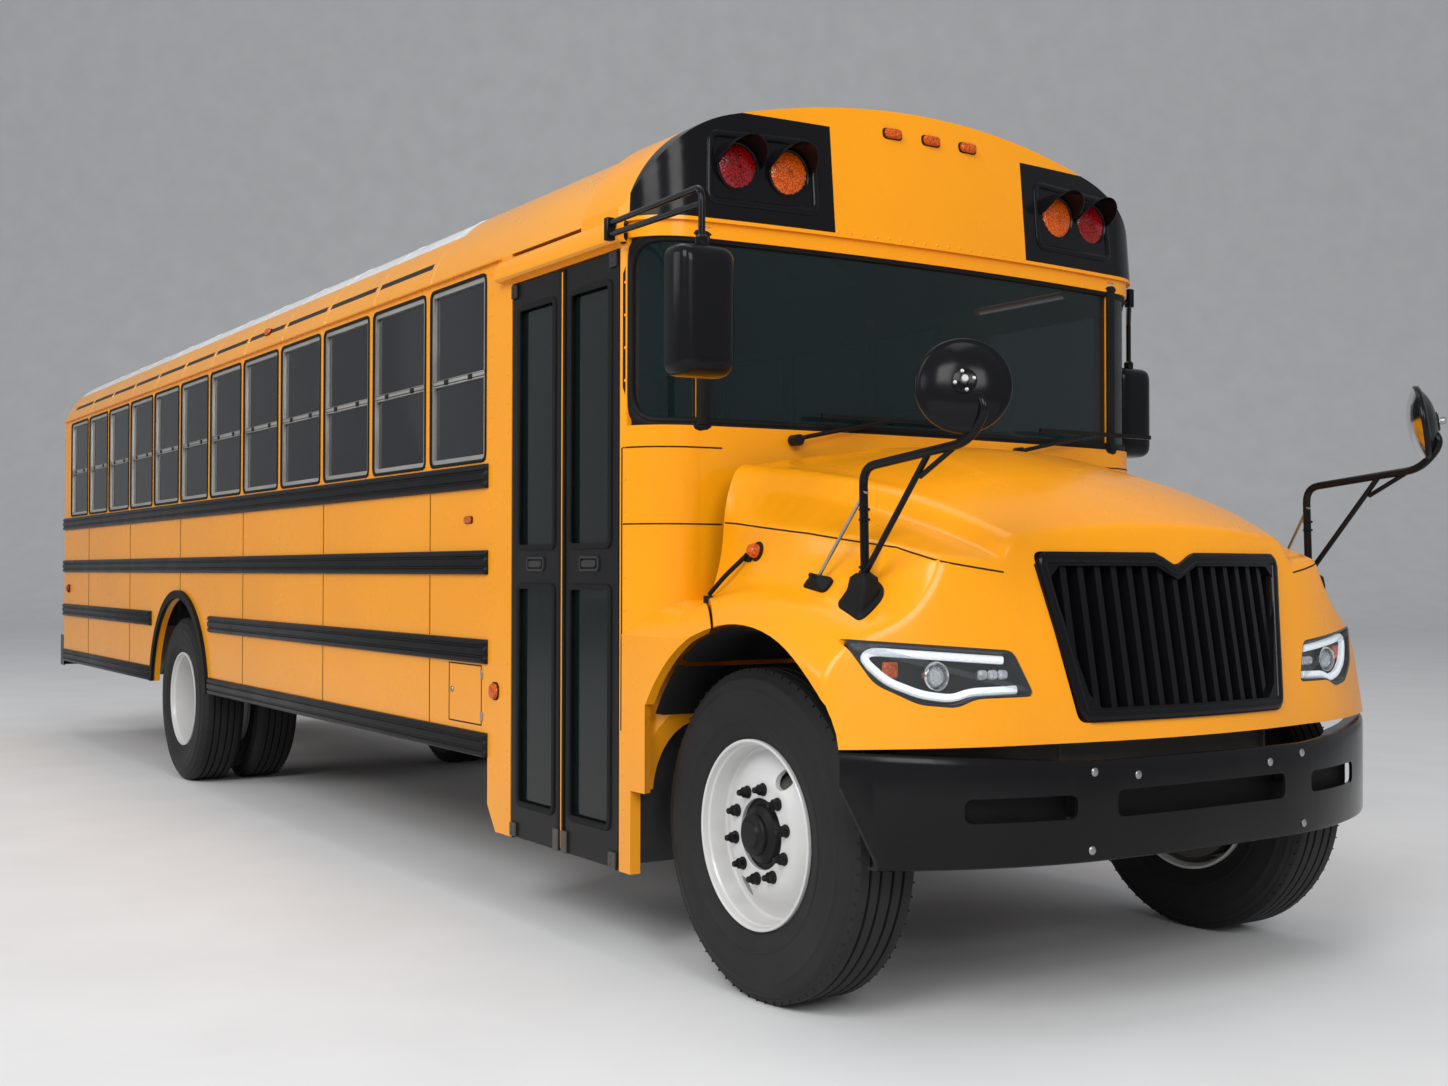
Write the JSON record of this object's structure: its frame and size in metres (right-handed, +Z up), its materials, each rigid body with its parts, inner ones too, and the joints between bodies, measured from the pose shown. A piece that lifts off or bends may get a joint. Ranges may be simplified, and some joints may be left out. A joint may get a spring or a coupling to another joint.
{
  "type": "school bus",
  "caption": "Full-size yellow conventional school bus with tilting hood, folding entrance doors, rear emergency door, roof hatch, swing-out stop arm and steered front wheels.",
  "frame": {"origin": "centre of the bounding box on the ground", "axes": "+X forward along the bus, +Y to its left side, +Z up"},
  "size_m": [11.2443, 3.002, 3.133],
  "materials": {
    "body_paint": "gloss",
    "roof_paint": "gloss",
    "black_paint": "semi-gloss",
    "black_trim": "semi-gloss",
    "mirror_black": "gloss",
    "drive_metal": "matt",
    "tank_metal": "satin",
    "tyre_rubber": "matt",
    "wheel_paint": "gloss",
    "floor_cover": "matt",
    "window_metal": "satin",
    "window_pane": "clear",
    "front_pane": "clear",
    "seat_cover": "matt",
    "seat_steel": "satin",
    "dash_plastic": "matt",
    "headlamp_lens": "clear",
    "warning_lens": "gloss",
    "tail_lens": "gloss",
    "sign_red": "gloss"
  },
  "bodies": {
    "bus": {"chassis_frame": "black_paint", "cross_members": "black_paint", "engine": "drive_metal", "driveline": "drive_metal", "front_axle": "drive_metal", "rear_axle": "drive_metal", "leaf_springs": "drive_metal", "side_wall_left": "body_paint", "side_wall_right": "body_paint", "floor": "floor_cover", "step_well": "floor_cover", "window_frames": "window_metal", "window_glass": "window_pane", "roof": "roof_paint", "rear_wall": "body_paint", "front_cap": "body_paint", "lamp_panels": "black_paint", "cowl": "body_paint", "windshield": "front_pane", "front_bumper": "black_paint", "rear_bumper": "black_paint", "stop_arm_bracket": "black_paint", "bench_seats": "seat_cover", "seat_frames": "seat_steel", "driver_seat": "seat_cover", "dashboard": "dash_plastic", "side_trim": "black_trim", "arch_flares": "black_trim", "warning_lamps": "warning_lens", "tail_lamps": "tail_lens", "side_mirrors": "black_trim", "wipers": "black_trim", "fuel_tank": "tank_metal", "exhaust": "tank_metal"},
    "hood": {"hood": "body_paint", "grille": "black_trim", "headlamps": "headlamp_lens", "crossview_mirrors": "mirror_black"},
    "door_front": {"door_leaf_front": "black_paint", "door_glass_front": "front_pane"},
    "door_rear": {"door_leaf_rear": "black_paint", "door_glass_rear": "front_pane"},
    "rear_door": {"rear_door": "body_paint", "rear_door_glass": "window_pane"},
    "roof_hatch": {"roof_hatch": "roof_paint"},
    "stop_arm": {"stop_arm": "sign_red"},
    "knuckle_left": {"knuckle_left": "drive_metal"},
    "knuckle_right": {"knuckle_right": "drive_metal"},
    "tie_rod": {"tie_rod": "drive_metal"},
    "wheel_front_left": {"tyre_front_left": "tyre_rubber", "rim_front_left": "wheel_paint"},
    "wheel_front_right": {"tyre_front_right": "tyre_rubber", "rim_front_right": "wheel_paint"},
    "wheel_rear_left": {"tyres_rear_left": "tyre_rubber", "rims_rear_left": "wheel_paint"},
    "wheel_rear_right": {"tyres_rear_right": "tyre_rubber", "rims_rear_right": "wheel_paint"}
  },
  "joints": [
    {"name": "hood_tilt", "type": "hinge", "parent": "bus", "child": "hood", "pos_m": [5.3, 0, 0.862], "axis": [0, 1, 0], "range_deg": [0, 65]},
    {"name": "door_front_swing", "type": "hinge", "parent": "bus", "child": "door_front", "pos_m": [3.912, -1.214, 1.39], "axis": [0, 0, 1], "range_deg": [0, 90]},
    {"name": "door_rear_swing", "type": "hinge", "parent": "bus", "child": "door_rear", "pos_m": [3.09, -1.214, 1.39], "axis": [0, 0, -1], "range_deg": [0, 90]},
    {"name": "rear_door_swing", "type": "hinge", "parent": "bus", "child": "rear_door", "pos_m": [-5.522, -0.384, 1.7], "axis": [0, 0, 1], "range_deg": [0, 105]},
    {"name": "roof_hatch_lift", "type": "hinge", "parent": "bus", "child": "roof_hatch", "pos_m": [2.26, 0, 3.089], "axis": [0, 1, 0], "range_deg": [0, 75]},
    {"name": "stop_arm_swing", "type": "hinge", "parent": "bus", "child": "stop_arm", "pos_m": [3.81, 1.241, 1.5], "axis": [0, 0, -1], "range_deg": [0, 90]},
    {"name": "steer_left", "type": "hinge", "parent": "bus", "child": "knuckle_left", "pos_m": [4.6, 0.905, 0.522], "axis": [0, 0, 1], "range_deg": [-35, 35]},
    {"name": "steer_right", "type": "hinge", "parent": "bus", "child": "knuckle_right", "pos_m": [4.6, -0.905, 0.522], "axis": [0, 0, 1], "range_deg": [-35, 35]},
    {"name": "tie_rod_pivot", "type": "hinge", "parent": "knuckle_left", "child": "tie_rod", "pos_m": [4.43, 0.905, 0.45], "axis": [0, 0, 1], "range_deg": [-35, 35]},
    {"name": "spin_front_left", "type": "hinge", "parent": "knuckle_left", "child": "wheel_front_left", "pos_m": [4.6, 0.992, 0.522], "axis": [0, 1, 0], "continuous": true},
    {"name": "spin_front_right", "type": "hinge", "parent": "knuckle_right", "child": "wheel_front_right", "pos_m": [4.6, -0.992, 0.522], "axis": [0, 1, 0], "continuous": true},
    {"name": "spin_rear_left", "type": "hinge", "parent": "bus", "child": "wheel_rear_left", "pos_m": [-1.852, 0.8985, 0.522], "axis": [0, 1, 0], "continuous": true},
    {"name": "spin_rear_right", "type": "hinge", "parent": "bus", "child": "wheel_rear_right", "pos_m": [-1.852, -0.8985, 0.522], "axis": [0, 1, 0], "continuous": true}
  ],
  "couplings": [
    {"joint": "steer_right", "follows": "steer_left", "ratio": 1},
    {"joint": "tie_rod_pivot", "follows": "steer_left", "ratio": -1}
  ]
}
